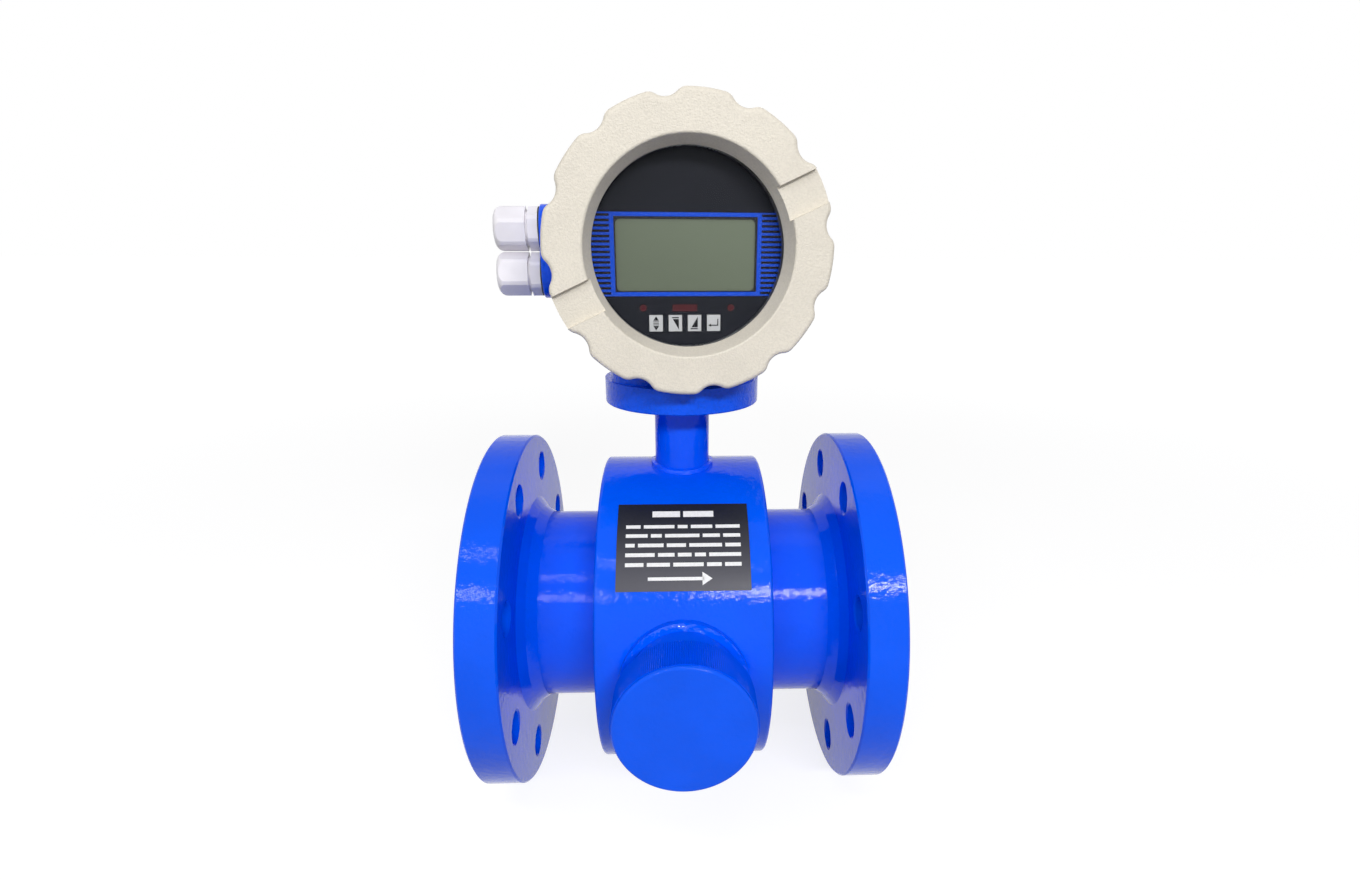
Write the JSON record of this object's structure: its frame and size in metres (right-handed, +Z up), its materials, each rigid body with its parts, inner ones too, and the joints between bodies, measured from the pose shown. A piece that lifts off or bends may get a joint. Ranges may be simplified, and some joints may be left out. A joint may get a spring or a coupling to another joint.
{
  "type": "electromagnetic flow meter",
  "caption": "Flanged electromagnetic flow meter: lined measuring pipe with a drum coil housing, electrode caps and a round converter head with a display and cable glands.",
  "frame": {"origin": "centre of the measuring bore, halfway between the sealing faces", "axes": "+X along the bore in the flow direction, +Z up along the neck, -Y the front, where the display faces"},
  "size_m": [0.25, 0.2668, 0.406],
  "materials": {
    "blue_enamel": "gloss enamel on steel",
    "blue_cast": "gloss enamel on an aluminium casting",
    "beige_powder": "wrinkle powder coat on an aluminium casting",
    "liner_ptfe": "moulded fluoropolymer",
    "copper_winding": "varnished winding wire",
    "iron_core": "bare electrical steel",
    "electrode_steel": "machined stainless",
    "seal_rubber": "moulded",
    "zinc_steel": "zinc plated",
    "window_glass": "clear",
    "panel_black": "printed overlay",
    "lcd_face": "reflective liquid crystal panel",
    "key_grey": "moulded key",
    "lamp_red": "tinted window",
    "circuit_board": "solder mask",
    "terminal_plastic": "moulded",
    "brass_pillar": "turned",
    "white_nylon": "moulded nylon",
    "label_film": "printed adhesive film"
  },
  "bodies": {
    "meter": {"board_pillars": "brass_pillar", "cheek_inlet": "blue_enamel", "cheek_outlet": "blue_enamel", "coil_bottom": "copper_winding", "coil_housing_band": "blue_enamel", "coil_top": "copper_winding", "converter_housing": "blue_cast", "display_board": "circuit_board", "display_panel": "panel_black", "electrode_front": "electrode_steel", "electrode_nuts": "electrode_steel", "electrode_rear": "electrode_steel", "electrode_sleeves": "liner_ptfe", "flange_welds": "blue_enamel", "flow_liner": "liner_ptfe", "gland_body_lower": "white_nylon", "gland_body_upper": "white_nylon", "gland_washer_lower": "seal_rubber", "gland_washer_upper": "seal_rubber", "head_gasket": "seal_rubber", "indicator_windows": "lamp_red", "inlet_flange": "blue_enamel", "label_plate": "label_film", "lcd_module": "lcd_face", "main_board": "circuit_board", "measuring_tube": "blue_enamel", "neck_pipe": "blue_enamel", "neck_plate": "blue_enamel", "neck_screws": "zinc_steel", "neck_weld": "blue_enamel", "outlet_flange": "blue_enamel", "pole_core_bottom": "iron_core", "pole_core_top": "iron_core", "power_transformer": "terminal_plastic", "stub_front": "blue_enamel", "stub_rear": "blue_enamel", "stub_welds": "blue_enamel", "terminal_block": "terminal_plastic", "terminal_screws": "zinc_steel", "yoke_band": "iron_core"},
    "front_ring": {"front_cover_oring": "seal_rubber"},
    "front_cover": {"front_cover": "beige_powder", "window_glass": "window_glass", "glass_gasket": "seal_rubber", "glass_retainer": "zinc_steel"},
    "rear_ring": {"rear_cover_oring": "seal_rubber"},
    "rear_cover": {"rear_cover": "beige_powder"},
    "front_gasket": {"cap_gasket_front": "seal_rubber"},
    "front_cap": {"electrode_cap_front": "blue_enamel"},
    "rear_gasket": {"cap_gasket_rear": "seal_rubber"},
    "rear_cap": {"electrode_cap_rear": "blue_enamel"},
    "upper_seal": {"gland_seal_upper": "seal_rubber"},
    "upper_nut": {"gland_nut_upper": "white_nylon"},
    "lower_seal": {"gland_seal_lower": "seal_rubber"},
    "lower_nut": {"gland_nut_lower": "white_nylon"},
    "select_key": {"key_select": "key_grey"},
    "down_key": {"key_down": "key_grey"},
    "up_key": {"key_up": "key_grey"},
    "enter_key": {"key_enter": "key_grey"}
  },
  "joints": [
    {"name": "front_cover_advance", "type": "slide", "parent": "meter", "child": "front_ring", "axis": [0.068, -0.9977, 0], "range_m": [0, 0.012]},
    {"name": "front_cover_turn", "type": "hinge", "parent": "front_ring", "child": "front_cover", "pos_m": [0.00238, -0.03492, 0.224], "axis": [0.068, -0.9977, 0], "range_deg": [0, 2160]},
    {"name": "rear_cover_advance", "type": "slide", "parent": "meter", "child": "rear_ring", "axis": [-0.068, 0.9977, 0], "range_m": [0, 0.012]},
    {"name": "rear_cover_turn", "type": "hinge", "parent": "rear_ring", "child": "rear_cover", "pos_m": [-0.00238, 0.03492, 0.224], "axis": [-0.068, 0.9977, 0], "range_deg": [0, 2160]},
    {"name": "front_cap_advance", "type": "slide", "parent": "meter", "child": "front_gasket", "axis": [0, -1, 0], "range_m": [0, 0.008]},
    {"name": "front_cap_turn", "type": "hinge", "parent": "front_gasket", "child": "front_cap", "pos_m": [0, -0.1294, 0], "axis": [0, -1, 0], "range_deg": [0, 1440]},
    {"name": "rear_cap_advance", "type": "slide", "parent": "meter", "child": "rear_gasket", "axis": [0, 1, 0], "range_m": [0, 0.008]},
    {"name": "rear_cap_turn", "type": "hinge", "parent": "rear_gasket", "child": "rear_cap", "pos_m": [0, 0.1294, 0], "axis": [0, 1, 0], "range_deg": [0, 1440]},
    {"name": "upper_nut_advance", "type": "slide", "parent": "meter", "child": "upper_seal", "axis": [-0.9977, -0.068, 0], "range_m": [0, 0.0045]},
    {"name": "upper_nut_turn", "type": "hinge", "parent": "upper_seal", "child": "upper_nut", "pos_m": [-0.09512, -0.00147, 0.23465], "axis": [-0.9977, -0.068, 0], "range_deg": [0, 1080]},
    {"name": "lower_nut_advance", "type": "slide", "parent": "meter", "child": "lower_seal", "axis": [-0.9977, -0.068, 0], "range_m": [0, 0.0045]},
    {"name": "lower_nut_turn", "type": "hinge", "parent": "lower_seal", "child": "lower_nut", "pos_m": [-0.09512, -0.00147, 0.20995], "axis": [-0.9977, -0.068, 0], "range_deg": [0, 1080]},
    {"name": "select_press", "type": "slide", "parent": "meter", "child": "select_key", "axis": [-0.068, 0.9977, 0], "range_m": [0, 0.0004], "stiffness_N_per_m": 1200, "springref_m": -0.0002},
    {"name": "down_press", "type": "slide", "parent": "meter", "child": "down_key", "axis": [-0.068, 0.9977, 0], "range_m": [0, 0.0004], "stiffness_N_per_m": 1200, "springref_m": -0.0002},
    {"name": "up_press", "type": "slide", "parent": "meter", "child": "up_key", "axis": [-0.068, 0.9977, 0], "range_m": [0, 0.0004], "stiffness_N_per_m": 1200, "springref_m": -0.0002},
    {"name": "enter_press", "type": "slide", "parent": "meter", "child": "enter_key", "axis": [-0.068, 0.9977, 0], "range_m": [0, 0.0004], "stiffness_N_per_m": 1200, "springref_m": -0.0002}
  ],
  "couplings": [
    {"joint": "front_cover_advance", "follows": "front_cover_turn", "m_per_rad": 0.00031831},
    {"joint": "rear_cover_advance", "follows": "rear_cover_turn", "m_per_rad": 0.00031831},
    {"joint": "front_cap_advance", "follows": "front_cap_turn", "m_per_rad": 0.00031831},
    {"joint": "rear_cap_advance", "follows": "rear_cap_turn", "m_per_rad": 0.00031831},
    {"joint": "upper_nut_advance", "follows": "upper_nut_turn", "m_per_rad": 0.00023873},
    {"joint": "lower_nut_advance", "follows": "lower_nut_turn", "m_per_rad": 0.00023873}
  ]
}
